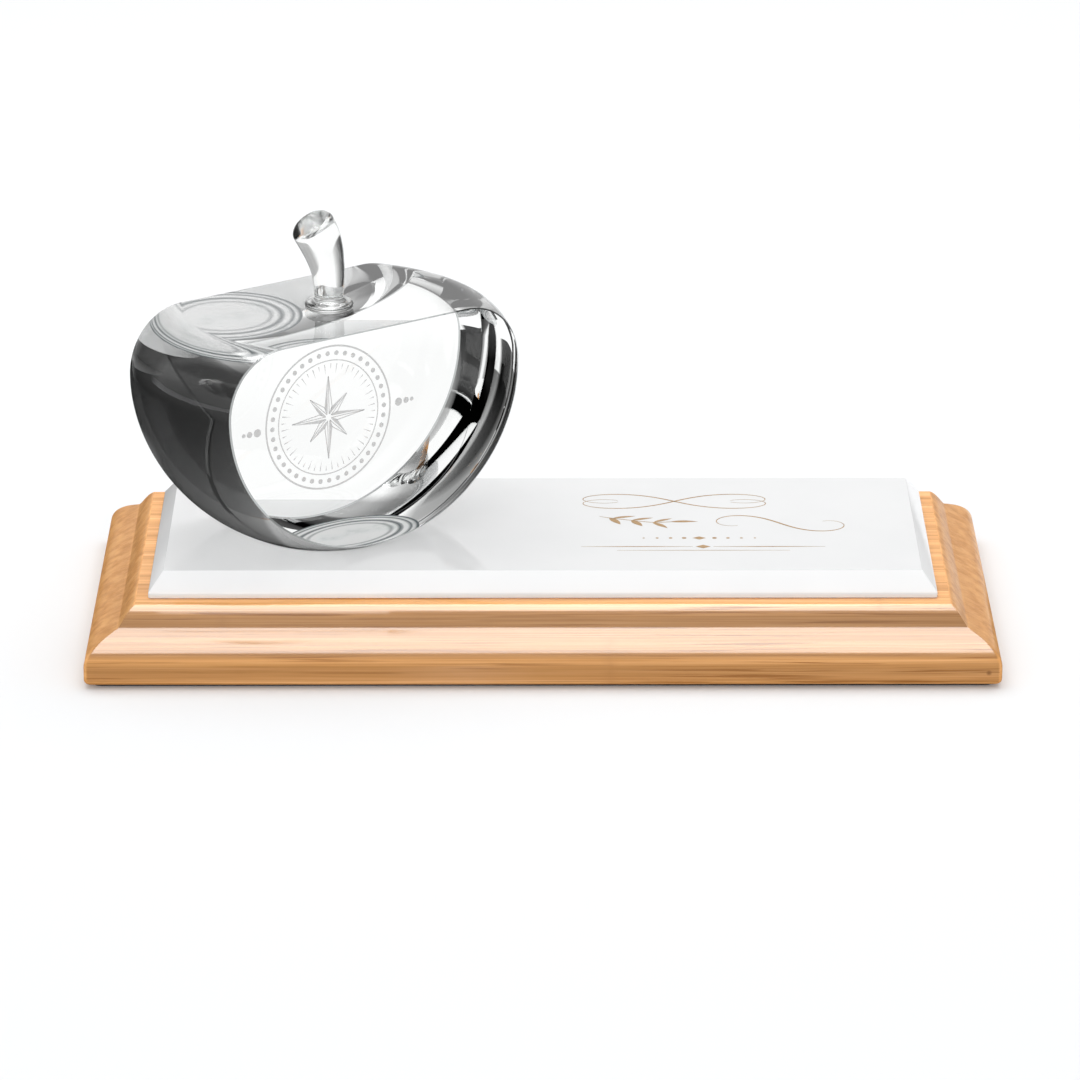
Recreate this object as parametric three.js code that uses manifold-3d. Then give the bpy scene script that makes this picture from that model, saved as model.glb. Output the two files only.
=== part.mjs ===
// Glass apple award: a sliced clear apple with a stem, standing on a white
// bevelled plate that is taped to a moulded bamboo board with a felt underside.
// Millimetres, +Z up. The origin is on the table, under the middle of the board.
import * as THREE from 'three';
import { mergeVertices } from 'three/addons/utils/BufferGeometryUtils.js';
import Module from 'manifold-3d';

const wasm = await Module();
wasm.setup();

// Bamboo board
const boardLength = 266.7;
const boardDepth = 127;
const boardThickness = 20;
const stripCount = 20;
const bottomEdgeRadius = 1.8;

// Moulded edge of the board, from the flat top outwards and downwards
const mouldingRun = 14.4;
const mouldingDrop = 14.8;
const coveRun = 4.9;
const coveDrop = 5.7;
const roundSideReach = 0.5;
const roundCoveReach = 0.42;
const roundCoveDip = 0.27;
const beadCoveReach = 0.17;
const beadCoveRise = 0.12;
const beadTopReach = 0.43;
const beadTopDip = 0.21;
const curveSteps = 7;
const roundSteps = 4;

// Felt pad under the board
const feltThickness = 0.9;
const feltInset = 2.6;
const feltCornerRadius = 2;

// White plate
const plateLength = 230.6;
const plateDepth = 89.6;
const plateEdgeHeight = 1.6;
const bevelRise = 5.6;
const bevelRun = 4.4;

// Tape between plate and board
const tapeThickness = 0.25;
const tapeWidth = 19;
const tapeInset = 8;

// Glass apple, turned about its own upright axis and sliced on two sides. It
// stands a set way in from the plate's left end.
const appleHeight = 68.4;
const appleThickness = 54.7;
const bellyRadius = 57.7;
const footRadius = 23.5;
const shoulderRun = 15.7;
const shoulderDrop = 19.1;
const appleEndInset = 51;
const appleY = -0.9;
const appleTurn = THREE.MathUtils.degToRad(35.3);
const appleSegments = 72;
const bellySteps = 14;
const shoulderSteps = 8;

// Clear adhesive
const glueThickness = 0.2;
const glueMargin = 0.4;

// Glass stem, which leans along the apple's width
const stemOffsetX = -0.4;
const stemOffsetY = -3.3;
const stemStraight = 6.4;
const stemBendRadius = 38;
const stemLean = THREE.MathUtils.degToRad(33);
const collarRadius = 7.25;
const collarHeight = 2.3;
const neckRadius = 4.3;
const neckHeight = 3.8;
const tipRadius = 6.6;
const tipRounding = 2;
const stemSegments = 28;
const swellSteps = 10;

// How close two points lie that are taken as one
const mergeTolerance = 1e-4;
const planeTolerance = 1e-3;

// Levels that follow from the sizes above
const boardBottom = feltThickness;
const boardTop = boardBottom + boardThickness;
const plateBottom = boardTop + tapeThickness;
const plateThickness = plateEdgeHeight + bevelRise;
const plateTop = plateBottom + plateThickness;
const appleX = appleEndInset - plateLength / 2;

// A closed geometry as a solid that can be cut
function solidOf(geometry) {
  const bare = geometry.clone();
  bare.deleteAttribute('normal');
  bare.deleteAttribute('uv');
  const merged = mergeVertices(bare, mergeTolerance);
  return new wasm.Manifold(new wasm.Mesh({
    numProp: 3,
    vertProperties: Float32Array.from(merged.attributes.position.array),
    triVerts: Uint32Array.from(merged.index.array),
  }));
}

// A cut solid as a geometry again
function geometryOf(solid) {
  const mesh = solid.getMesh();
  const geometry = new THREE.BufferGeometry();
  geometry.setAttribute('position', new THREE.BufferAttribute(mesh.vertProperties, 3));
  geometry.setIndex(new THREE.BufferAttribute(mesh.triVerts, 1));
  geometry.computeVertexNormals();
  return geometry;
}

function named(name, geometry, material) {
  const mesh = new THREE.Mesh(geometry, material);
  mesh.name = name;
  return mesh;
}

function bambooMaterial() {
  return new THREE.MeshStandardMaterial({ color: 0xdca566, roughness: 0.45, metalness: 0 });
}

function plateMaterial() {
  return new THREE.MeshStandardMaterial({ color: 0xf1f1f1, roughness: 0.12, metalness: 0 });
}

function glassMaterial() {
  return new THREE.MeshStandardMaterial({
    color: 0xeef4f2, roughness: 0.02, metalness: 0, transparent: true, opacity: 0.35,
  });
}

function adhesiveMaterial() {
  return new THREE.MeshStandardMaterial({
    color: 0xf4f6f4, roughness: 0.1, metalness: 0, transparent: true, opacity: 0.4,
  });
}

function tapeMaterial() {
  return new THREE.MeshStandardMaterial({ color: 0xe6e0cf, roughness: 0.8, metalness: 0 });
}

function feltMaterial() {
  return new THREE.MeshStandardMaterial({ color: 0x3a3a3c, roughness: 1, metalness: 0 });
}

// Moulded edge of the board as points from the bottom up: a small round under
// the plain side, the large round, the cove and the bead beside the flat top.
// The reach values shape the curves, as shares of the run and drop they span.
function edgePoints(halfWidth) {
  const flat = halfWidth - mouldingRun;
  const coveX = flat + coveRun;
  const coveZ = boardThickness - coveDrop;
  const sideTop = boardThickness - mouldingDrop;
  const arris = new THREE.Path();
  arris.absarc(halfWidth - bottomEdgeRadius, bottomEdgeRadius, bottomEdgeRadius, -Math.PI / 2, 0);
  const rise = coveZ - sideTop;
  const lowerRound = new THREE.CubicBezierCurve(
    new THREE.Vector2(halfWidth, sideTop),
    new THREE.Vector2(halfWidth, sideTop + roundSideReach * rise),
    new THREE.Vector2(halfWidth - roundCoveReach * (halfWidth - coveX), coveZ - roundCoveDip * rise),
    new THREE.Vector2(coveX, coveZ),
  );
  const bead = new THREE.CubicBezierCurve(
    new THREE.Vector2(coveX, coveZ),
    new THREE.Vector2(coveX - beadCoveReach * coveRun, coveZ + beadCoveRise * coveDrop),
    new THREE.Vector2(flat + beadTopReach * coveRun, boardThickness - beadTopDip * coveDrop),
    new THREE.Vector2(flat, boardThickness),
  );
  return [
    ...arris.getPoints(roundSteps),
    ...lowerRound.getPoints(curveSteps),
    ...bead.getPoints(curveSteps).slice(1),
  ];
}

// The board's section across one way, run along the other way
function mouldedBar(width, length) {
  const edge = edgePoints(width / 2);
  const mirrored = edge.map((p) => new THREE.Vector2(-p.x, p.y)).reverse();
  const section = new THREE.Shape([...edge, ...mirrored]);
  const bar = new THREE.ExtrudeGeometry(section, { depth: length, bevelEnabled: false, steps: 1 });
  bar.translate(0, 0, -length / 2);
  bar.rotateX(Math.PI / 2);
  return bar;
}

// The whole board: where the two moulded bars cross, their edges meet in mitres
function mouldedBoard() {
  const lengthwise = mouldedBar(boardDepth, boardLength);
  lengthwise.rotateZ(Math.PI / 2);
  const crosswise = mouldedBar(boardLength, boardDepth);
  return solidOf(lengthwise).intersect(solidOf(crosswise));
}

// A slice of the board's space between two depths
function slab(low, high) {
  const box = new THREE.BoxGeometry(2 * boardLength, 2, 4 * boardThickness);
  const position = box.attributes.position;
  for (let i = 0; i < position.count; i += 1) {
    position.setY(i, position.getY(i) < 0 ? low : high);
  }
  return solidOf(box);
}

// Strips of one board share their cut planes exactly
function pressToPlanes(geometry, planes) {
  const position = geometry.attributes.position;
  for (let i = 0; i < position.count; i += 1) {
    const near = planes.find((plane) => Math.abs(position.getY(i) - plane) < planeTolerance);
    if (near !== undefined) {
      position.setY(i, near);
    }
  }
  return geometry;
}

function bambooStrips() {
  const group = new THREE.Group();
  group.position.z = boardBottom;
  const board = mouldedBoard();
  const width = boardDepth / stripCount;
  for (let i = 0; i < stripCount; i += 1) {
    const low = -boardDepth / 2 + i * width;
    const high = -boardDepth / 2 + (i + 1) * width;
    const strip = pressToPlanes(geometryOf(board.intersect(slab(low, high))), [low, high]);
    const number = String(i + 1).padStart(2, '0');
    group.add(named(`bamboo_strip_${number}`, strip, bambooMaterial()));
  }
  return group;
}

function feltPad() {
  const halfX = boardLength / 2 - feltInset;
  const halfY = boardDepth / 2 - feltInset;
  const r = feltCornerRadius;
  const outline = new THREE.Shape();
  outline.absarc(halfX - r, halfY - r, r, 0, Math.PI / 2);
  outline.absarc(-halfX + r, halfY - r, r, Math.PI / 2, Math.PI);
  outline.absarc(-halfX + r, -halfY + r, r, Math.PI, 1.5 * Math.PI);
  outline.absarc(halfX - r, -halfY + r, r, 1.5 * Math.PI, 2 * Math.PI);
  const settings = { depth: feltThickness, bevelEnabled: false, curveSegments: roundSteps };
  return named('felt_pad', new THREE.ExtrudeGeometry(outline, settings), feltMaterial());
}

// Plate with an upright edge and a bevel all round its top
function whitePlate() {
  const block = new THREE.BoxGeometry(plateLength, plateDepth, plateThickness, 1, 1, 2);
  const levels = [
    { height: 0, inset: 0 },
    { height: plateEdgeHeight, inset: 0 },
    { height: plateThickness, inset: bevelRun },
  ];
  const position = block.attributes.position;
  for (let i = 0; i < position.count; i += 1) {
    const level = levels[Math.round(2 * position.getZ(i) / plateThickness) + 1];
    position.setX(i, position.getX(i) - Math.sign(position.getX(i)) * level.inset);
    position.setY(i, position.getY(i) - Math.sign(position.getY(i)) * level.inset);
    position.setZ(i, level.height);
  }
  block.computeVertexNormals();
  const mesh = named('white_plate', block, plateMaterial());
  mesh.position.z = plateBottom;
  return mesh;
}

function tapeStrips() {
  const group = new THREE.Group();
  group.position.z = boardTop;
  const length = plateLength - 2 * tapeInset;
  const centre = plateDepth / 2 - tapeInset - tapeWidth / 2;
  for (const [name, side] of [['tape_strip_front', -1], ['tape_strip_back', 1]]) {
    const strip = new THREE.BoxGeometry(length, tapeWidth, tapeThickness);
    strip.translate(0, side * centre, tapeThickness / 2);
    group.add(named(name, strip, tapeMaterial()));
  }
  return group;
}

// Turned form of the apple: flat foot, elliptic underside, elliptic shoulder, flat top
function appleProfile() {
  const bellyHeight = appleHeight - shoulderDrop;
  const footAngle = Math.acos(footRadius / bellyRadius);
  const undersideHeight = bellyHeight / Math.sin(footAngle);
  const points = [new THREE.Vector2(0, 0)];
  for (let i = 0; i <= bellySteps; i += 1) {
    const angle = footAngle * (1 - i / bellySteps);
    const height = i === 0 ? 0 : bellyHeight - undersideHeight * Math.sin(angle);
    points.push(new THREE.Vector2(bellyRadius * Math.cos(angle), height));
  }
  for (let i = 1; i <= shoulderSteps; i += 1) {
    const angle = (Math.PI / 2) * (i / shoulderSteps);
    points.push(new THREE.Vector2(
      bellyRadius - shoulderRun * (1 - Math.cos(angle)),
      bellyHeight + shoulderDrop * Math.sin(angle),
    ));
  }
  points.push(new THREE.Vector2(0, appleHeight));
  return points;
}

function glassApple() {
  const turned = new THREE.LatheGeometry(appleProfile(), appleSegments);
  turned.rotateX(Math.PI / 2);
  const slice = new THREE.BoxGeometry(4 * bellyRadius, appleThickness, 4 * appleHeight);
  const apple = solidOf(turned).intersect(solidOf(slice));
  return named('glass_apple', geometryOf(apple), glassMaterial());
}

function gluePad(name, radius) {
  const pad = new THREE.CylinderGeometry(radius, radius, glueThickness, appleSegments / 2);
  pad.rotateX(Math.PI / 2);
  pad.translate(0, 0, glueThickness / 2);
  return named(name, pad, adhesiveMaterial());
}

// Straight form of the stem: collar, neck, and a body that swells to a rounded end
function stemProfile(length) {
  const collar = new THREE.Path();
  const bulge = collarHeight / 2;
  collar.absarc(collarRadius - bulge, bulge, bulge, -Math.PI / 2, Math.PI / 2);
  const neck = new THREE.QuadraticBezierCurve(
    new THREE.Vector2(collarRadius - bulge, collarHeight),
    new THREE.Vector2(neckRadius, collarHeight),
    new THREE.Vector2(neckRadius, neckHeight),
  );
  const bodyTop = length - tipRounding;
  const swell = new THREE.CubicBezierCurve(
    new THREE.Vector2(neckRadius, neckHeight),
    new THREE.Vector2(neckRadius, neckHeight + (bodyTop - neckHeight) / 3),
    new THREE.Vector2(tipRadius, bodyTop - (bodyTop - neckHeight) / 3),
    new THREE.Vector2(tipRadius, bodyTop),
  );
  const tip = new THREE.Path();
  tip.absarc(tipRadius - tipRounding, bodyTop, tipRounding, 0, Math.PI / 2);
  return [
    new THREE.Vector2(0, 0),
    ...collar.getPoints(2 * roundSteps),
    ...neck.getPoints(roundSteps).slice(1),
    ...swell.getPoints(swellSteps).slice(1),
    ...tip.getPoints(roundSteps).slice(1),
    new THREE.Vector2(0, length),
  ];
}

// Middle line of the stem at a distance from its foot: upright, then bent
// in an arc towards -X
function stemFrame(distance) {
  const angle = Math.max(0, distance - stemStraight) / stemBendRadius;
  const upright = Math.min(distance, stemStraight);
  return {
    x: -stemBendRadius * (1 - Math.cos(angle)),
    z: upright + stemBendRadius * Math.sin(angle),
    angle,
  };
}

function glassStem() {
  const length = stemStraight + stemBendRadius * stemLean;
  const straight = new THREE.LatheGeometry(stemProfile(length), stemSegments);
  straight.rotateX(Math.PI / 2);
  const position = straight.attributes.position;
  for (let i = 0; i < position.count; i += 1) {
    const frame = stemFrame(position.getZ(i));
    const out = position.getX(i);
    position.setX(i, frame.x + out * Math.cos(frame.angle));
    position.setZ(i, frame.z + out * Math.sin(frame.angle));
  }
  straight.computeVertexNormals();
  return named('glass_stem', straight, glassMaterial());
}

// Apple, stem and the adhesive under each, turned on the plate together
function appleGroup() {
  const group = new THREE.Group();
  group.position.set(appleX, appleY, plateTop);
  group.rotation.z = appleTurn;
  const footGlue = gluePad('apple_adhesive_film', footRadius - glueMargin);
  const apple = glassApple();
  apple.position.z = glueThickness;
  const stemPlace = new THREE.Group();
  stemPlace.position.set(stemOffsetX, stemOffsetY, glueThickness + appleHeight);
  const stemGlue = gluePad('stem_adhesive_film', collarRadius - collarHeight / 2 - glueMargin);
  const stem = glassStem();
  stem.position.z = glueThickness;
  stemPlace.add(stemGlue, stem);
  group.add(footGlue, apple, stemPlace);
  return group;
}

const group = new THREE.Group();
group.add(feltPad(), bambooStrips(), tapeStrips(), whitePlate(), appleGroup());

export default group;
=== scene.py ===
import math

import bmesh
import bpy
from mathutils import Matrix, Vector

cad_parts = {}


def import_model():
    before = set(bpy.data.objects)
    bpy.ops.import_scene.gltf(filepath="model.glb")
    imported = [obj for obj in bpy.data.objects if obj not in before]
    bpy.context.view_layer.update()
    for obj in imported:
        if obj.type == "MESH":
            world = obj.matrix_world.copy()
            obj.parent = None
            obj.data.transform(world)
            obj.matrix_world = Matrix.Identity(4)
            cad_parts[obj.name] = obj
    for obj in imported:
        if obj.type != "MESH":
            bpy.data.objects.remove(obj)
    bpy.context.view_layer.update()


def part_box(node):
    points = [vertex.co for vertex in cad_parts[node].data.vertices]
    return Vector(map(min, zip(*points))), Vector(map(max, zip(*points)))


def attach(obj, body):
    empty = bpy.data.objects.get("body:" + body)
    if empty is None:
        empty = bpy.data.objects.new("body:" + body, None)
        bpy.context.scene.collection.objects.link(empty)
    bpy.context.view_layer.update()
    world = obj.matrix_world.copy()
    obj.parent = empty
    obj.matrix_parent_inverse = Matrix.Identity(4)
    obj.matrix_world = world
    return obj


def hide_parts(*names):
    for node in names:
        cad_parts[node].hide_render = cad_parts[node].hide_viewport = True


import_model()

MM = 0.001

# Bamboo board
STRIP_COUNT = 20
MOULDING_RUN = 14.4 * MM
MOULDING_DROP = 14.8 * MM
COVE_RUN = 4.9 * MM
COVE_DROP = 5.7 * MM
ROUND_SIDE_REACH = 0.5
ROUND_COVE_REACH = 0.42
ROUND_COVE_DIP = 0.27
BEAD_COVE_REACH = 0.17
BEAD_COVE_RISE = 0.12
BEAD_TOP_REACH = 0.43
BEAD_TOP_DIP = 0.21
BOTTOM_EDGE_RADIUS = 1.8 * MM
BOARD_CORNER_RADIUS = 1.3 * MM
CRISP_CORNER_RADIUS = 0.05 * MM
CORNER_FADE = 6 * MM
EDGE_STEPS = 22
REAR_STRIPS = 3
PIN_HOLE = (129.4 * MM, -63.3 * MM, 4.9 * MM)
PIN_HOLE_REACH = 1 * MM
HEIGHT_SPAN = 22 * MM

# Felt pad
FELT_CORNER_RADIUS = 2 * MM
FELT_EDGE_ROUND = 0.25 * MM

# Tape strips and adhesive films
TAPE_CORNER_RADIUS = 0.3 * MM
TAPE_EDGE_ROUND = 0.05 * MM
FILM_CLEARANCE = 0.01 * MM
FILM_DRAWN_IN = 0.4

# White plate
PLATE_EDGE_HEIGHT = 1.6 * MM
PLATE_BEVEL_RUN = 4.4 * MM
PLATE_ARRIS = 0.3 * MM
PLATE_CORNER_RADIUS = 0.6 * MM
PLATE_SHADED_TOP_DEPTH = 0.4 * MM

# Glass apple, in its own turned frame: +X along the face, -Y out of the front
APPLE_TURN = math.radians(35.3)
APPLE_THICKNESS = 54.7 * MM
BELLY_RADIUS = 57.7 * MM
FOOT_RADIUS = 23.5 * MM
SHOULDER_RUN = 15.7 * MM
SHOULDER_DROP = 19.1 * MM
FACE_CHAMFER = 0.35 * MM
APPLE_FOOT_RINGS = 4
APPLE_BELLY_RINGS = 70
APPLE_SHOULDER_RINGS = 30
APPLE_ARC_STEPS = 96

# Glass stem
STEM_STRAIGHT = 6.4 * MM
STEM_BEND_RADIUS = 38 * MM
STEM_LEAN = math.radians(33)
COLLAR_RADIUS = 7.25 * MM
COLLAR_HEIGHT = 2.3 * MM
NECK_RADIUS = 4.3 * MM
NECK_HEIGHT = 3.8 * MM
TIP_RADIUS = 6.6 * MM
TIP_ROUNDING = 2 * MM
STEM_SIDES = 72

# Etched rosette on the apple's front face: its middle along and up the face, lines as
# (radius, width), and side dots as (radius, distance from the middle)
ROSETTE_ALONG = -17 * MM
ROSETTE_UP = 44.5 * MM
ROSETTE_OUTER_LINE = (21.6 * MM, 0.55 * MM)
ROSETTE_INNER_LINE = (17.3 * MM, 0.35 * MM)
BEAD_COUNT = 40
BEAD_RING = 19.45 * MM
BEAD_RADIUS = 0.75 * MM
RAY_COUNT = 48
RAY_FOOT = 16.3 * MM
RAY_LENGTHS = (3.1 * MM, 1.7 * MM)
RAY_HALF_WIDTH = 0.18 * MM
STAR_TIPS = (12.6 * MM, 9.0 * MM)
STAR_WAIST = 3.4 * MM
STAR_HEART = 1 * MM
STAR_GAP = 0.28 * MM
STAR_LINE = 0.3 * MM
SIDE_DOTS = ((1.25 * MM, 24.6 * MM), (0.95 * MM, 27.3 * MM), (0.65 * MM, 29.3 * MM))
ETCH_DEPTH = 0.03 * MM
ETCH_LIFT = 0.012 * MM

# Engraved ornament on the plate
ENGRAVING_DEPTH = 0.03 * MM
ENGRAVING_LIFT = 0.004 * MM

# Camera, at the photograph's viewing angle
IMAGE_SIZE = 1080
FOCAL_PIXELS = 5980
SENSOR_WIDTH = 36
CAMERA_PLACE = (-5.12 * MM, -1680.32 * MM, 634.55 * MM)
CAMERA_PITCH = math.radians(20)
CAMERA_YAW = math.radians(0.15)
FLOOR_REACH = 3.0
ON_TABLE = 10 * MM

# Studio cards: lowest and highest corner, brightness at the lower and upper end, widths of the
# soft edges (the first, the last and the top), and whether gloss, glass or both see the card
CARDS = {
    "card_right": (
        (0.25, -0.21, 0.001), (0.25, 0.05, 0.38), (0.002, 0.12), (0.02, 0.04, 0.04), "both"),
    "card_right_low": (
        (0.252, -0.10, 0.001), (0.252, 0.16, 0.15), (0.002, 0.02), (0.01, 0.05, 0.05), "both"),
    "card_left": (
        (-0.25, 0.02, 0.001), (-0.25, 0.25, 0.52), (0.002, 0.16), (0.03, 0.10, 0.06), "both"),
    "card_left_far": (
        (-0.252, 0.12, 0.001), (-0.252, 0.52, 0.52), (0.30, 0.45), (0.10, 0.30, 0.10), "both"),
    "card_left_front": (
        (-0.26, -0.62, 0.001), (-0.26, -0.29, 0.20), (0.01, 0.10), (0.03, 0.03, 0.03), "both"),
    "card_front": (
        (-0.55, -0.50, 0.001), (-0.05, -0.50, 0.24), (0.01, 0.16), (0.06, 0.10, 0.06), "both"),
    # A bright one overhead, and a small one that lights the moulding where the apple hides the first
    "card_highlight": (
        (-0.55, -0.54, 1.0), (0.55, 0.62, 1.0), (9.5, 9.5), (0.12, 0.25, 0.12), "gloss"),
    "card_highlight_low": (
        (-0.115, -0.057, 0.028), (-0.045, -0.0485, 0.028), (9.5, 9.5), (0.003, 0.001, 0.001), "gloss"),
    # Darker ones on the table
    "card_table_left": (
        (-0.80, -0.55, 0.0006), (-0.02, 0.50, 0.0006), (0.01, 0.01), (0.03, 0.03, 0.03), "gloss"),
    "card_table_front": (
        (-0.03, -0.30, 0.0006), (0.24, 0.05, 0.0006), (0.01, 0.01), (0.03, 0.03, 0.03), "gloss"),
    "card_table_right": (
        (0.15, 0.16, 0.0006), (0.60, 0.75, 0.0006), (0.42, 0.42), (0.03, 0.03, 0.03), "gloss"),
    # A low dark one close to the apple's right
    "card_plate": (
        (-0.012, -0.085, 0.0275), (-0.012, 0.05, 0.052), (0.01, 0.05), (0.01, 0.02, 0.015), "glass"),
}


# Node materials

def new_material(name):
    material = bpy.data.materials.new(name)
    material.use_nodes = True
    tree = material.node_tree
    return material, tree, tree.nodes["Principled BSDF"]


def fill(tree, node, inputs):
    """Links inputs to sockets, or sets them to values. A colour needs no fourth number."""
    for key, value in inputs.items():
        socket = node.inputs[key]
        if isinstance(value, bpy.types.NodeSocket):
            tree.links.new(value, socket)
        else:
            socket.default_value = (*value, 1) if socket.type == "RGBA" else value


def put(tree, kind, inputs=None, **settings):
    """Adds a node, sets its properties, and fills or links its inputs."""
    node = tree.nodes.new(kind)
    for key, value in settings.items():
        setattr(node, key, value)
    fill(tree, node, inputs or {})
    return node


def maths(tree, operation, first, second=0.0, third=0.0, clamp=False):
    inputs = {0: first, 1: second, 2: third}
    return put(tree, "ShaderNodeMath", inputs, operation=operation, use_clamp=clamp).outputs[0]


def times(tree, first, second):
    return maths(tree, "MULTIPLY", first, second)


def ramp(tree, factor, *stops):
    """A colour ramp through (position, colour) stops; a colour may be one grey."""
    node = put(tree, "ShaderNodeValToRGB", {0: factor})
    elements = node.color_ramp.elements
    elements[0].position = stops[0][0]
    elements[1].position = stops[-1][0]
    for position, _ in stops[1:-1]:
        elements.new(position)
    for element, (_, colour) in zip(elements, stops):
        grey = isinstance(colour, (int, float))
        element.color = (colour, colour, colour, 1) if grey else (*colour, 1)
    return node.outputs[0]


def blend_colours(tree, factor, first, second, blend_type="MIX"):
    inputs = {0: factor, 6: first, 7: second}
    return put(tree, "ShaderNodeMix", inputs, data_type="RGBA", blend_type=blend_type).outputs[2]


def stretched(tree, vector, scale, shift=(0, 0, 0)):
    node = put(tree, "ShaderNodeMapping", {"Vector": vector, "Scale": scale, "Location": shift})
    return node.outputs[0]


def noise(tree, vector, scale, detail=2.0, roughness=0.5, shift=(0, 0, 0)):
    """Noise at a scale of one number, or of three that draw it out along an axis."""
    if isinstance(scale, tuple):
        vector, scale = stretched(tree, vector, scale, shift), 1.0
    node = put(tree, "ShaderNodeTexNoise", {
        "Vector": vector, "Scale": scale, "Detail": detail, "Roughness": roughness,
    })
    return node.outputs["Fac"]


def weighed(tree, first, second, share):
    """The sum of two values, of which the first has the given share."""
    return maths(tree, "ADD", times(tree, first, share), times(tree, second, 1 - share))


def object_place(tree):
    return put(tree, "ShaderNodeTexCoord").outputs["Object"]


def distance(tree, place, mark):
    return put(tree, "ShaderNodeVectorMath", {0: place, 1: mark}, operation="DISTANCE").outputs["Value"]


def bump(tree, height, strength, depth):
    """The normal of a surface that is raised by height."""
    inputs = {"Height": height, "Strength": strength, "Distance": depth}
    return put(tree, "ShaderNodeBump", inputs).outputs[0]


def split(tree, vector):
    return put(tree, "ShaderNodeSeparateXYZ", {0: vector}).outputs


def bamboo_material(half_depth, strip_width):
    """Laminated bamboo: fibres and bundles run along X, one strip beside the other in Y."""
    material, tree, shader = new_material("bamboo_laminate")
    place = object_place(tree)
    x, y, z = split(tree, place)
    across = maths(tree, "DIVIDE", maths(tree, "ADD", y, half_depth), strip_width)
    index = maths(tree, "FLOOR", across)
    chance = put(tree, "ShaderNodeTexWhiteNoise", {"W": index}, noise_dimensions="1D")
    strip_tone, strip_colour = chance.outputs["Value"], chance.outputs["Color"]
    shifted = put(tree, "ShaderNodeVectorMath", {0: strip_colour, 3: 0.37}, operation="SCALE")
    moved = put(tree, "ShaderNodeVectorMath", {0: place, 1: shifted.outputs[0]}, operation="ADD")
    own_place = moved.outputs[0]
    height_share = maths(tree, "DIVIDE", z, HEIGHT_SPAN)

    # Fibres: fine lines and broader streaks, drawn out along X
    fine = noise(tree, own_place, (11, 1700, 1700), 3, 0.65)
    streaks = noise(tree, own_place, (3.2, 330, 330), 3, 0.55)
    clouds = noise(tree, own_place, (9, 60, 60))
    body = ramp(tree, weighed(tree, streaks, fine, 0.5),
                (0.34, (0.42, 0.190, 0.050)),
                (0.45, (0.60, 0.290, 0.096)),
                (0.54, (0.72, 0.365, 0.134)),
                (0.66, (0.90, 0.510, 0.235)))
    body = blend_colours(tree, times(tree, clouds, 0.3), body, (0.70, 0.33, 0.10))
    tint = ramp(tree, strip_tone, (0.0, (0.88, 0.85, 0.78)), (1.0, (1.05, 1.05, 1.05)))
    body = blend_colours(tree, 1.0, body, tint, "MULTIPLY")

    # Dark fibre lines, in places close together, and fainter on the flat top
    threads = noise(tree, own_place, (22, 1250, 1250), shift=(0.3, 0.7, 0.1))
    crowd = noise(tree, own_place, (12, 130, 130), 1)
    dark_line = ramp(tree, threads, (0.34, 1.0), (0.44, 0.0))
    amount = times(tree, dark_line, ramp(tree, crowd, (0.35, 0.25), (0.62, 0.95)))
    amount = times(tree, amount, ramp(tree, height_share, (0.93, 1.0), (0.948, 0.3)))
    body = blend_colours(tree, amount, body, (0.33, 0.125, 0.026))

    # Bundles of vessels: dark dots where the grain ends, thin dashes along it
    bundles = put(tree, "ShaderNodeTexVoronoi", {
        "Vector": stretched(tree, own_place, (16, 1250, 1250)), "Scale": 1.0, "Randomness": 0.9,
    })
    dots = ramp(tree, bundles.outputs["Distance"], (0.10, 1.0), (0.36, 0.0))
    body = blend_colours(tree, times(tree, dots, 0.34), body, (0.40, 0.165, 0.045))

    # A node of the cane crosses each strip somewhere along it
    node_x = maths(tree, "MULTIPLY_ADD", strip_tone, 0.26, third=-0.13)
    wave = times(tree, noise(tree, own_place, (20, 420, 420)), 0.004)
    away = maths(tree, "ABSOLUTE", maths(tree, "SUBTRACT", maths(tree, "ADD", x, wave), node_x))
    knot = ramp(tree, maths(tree, "DIVIDE", away, 0.003), (0.0, 1.0), (0.35, 0.55), (1.0, 0.0))
    body = blend_colours(tree, times(tree, knot, 0.32), body, (0.50, 0.23, 0.075))

    # A pin hole near the front's right end, without depth: its dark dot is painted shade
    apart = maths(tree, "DIVIDE", distance(tree, place, PIN_HOLE), PIN_HOLE_REACH)
    body = blend_colours(tree, ramp(tree, apart, (0.35, 0.85), (1.0, 0.0)), body, (0.16, 0.065, 0.030))

    # Glue line between strips
    part = maths(tree, "FRACT", across)
    seam = maths(tree, "MINIMUM", part, maths(tree, "SUBTRACT", 1.0, part))
    line = ramp(tree, seam, (0.0, 1.0), (0.018, 0.0))
    body = blend_colours(tree, times(tree, line, 0.42), body, (0.42, 0.20, 0.075))

    # Mottled end grain at both ends
    facing = split(tree, put(tree, "ShaderNodeNewGeometry").outputs["Normal"])
    end_share = ramp(tree, maths(tree, "ABSOLUTE", facing[0]), (0.15, 0.0), (0.5, 0.94))
    pores = noise(tree, place, (160, 240, 320), 4, 0.6)
    end_grain = ramp(tree, pores, (0.34, (0.68, 0.315, 0.100)), (0.48, (0.80, 0.390, 0.137)),
                     (0.62, (0.90, 0.470, 0.180)))
    body = blend_colours(tree, end_share, body, end_grain)

    # Painted light and shade by height: painted shade darkens a band on the side and the moulding, most of
    # all the cove, and painted light brightens the flat top; the ends get half of it
    painted_light_and_shade = ramp(tree, height_share,
                  (0.14, 1.02), (0.22, 0.90), (0.34, 0.88), (0.40, 1.02), (0.46, 0.72), (0.672, 0.70),
                  (0.70, 0.60), (0.78, 0.60), (0.83, 0.66), (0.88, 0.74), (0.925, 0.76), (0.948, 1.22))
    body = blend_colours(tree, maths(tree, "SUBTRACT", 1.0, times(tree, end_share, 0.5)),
                         body, painted_light_and_shade, "MULTIPLY")

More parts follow.
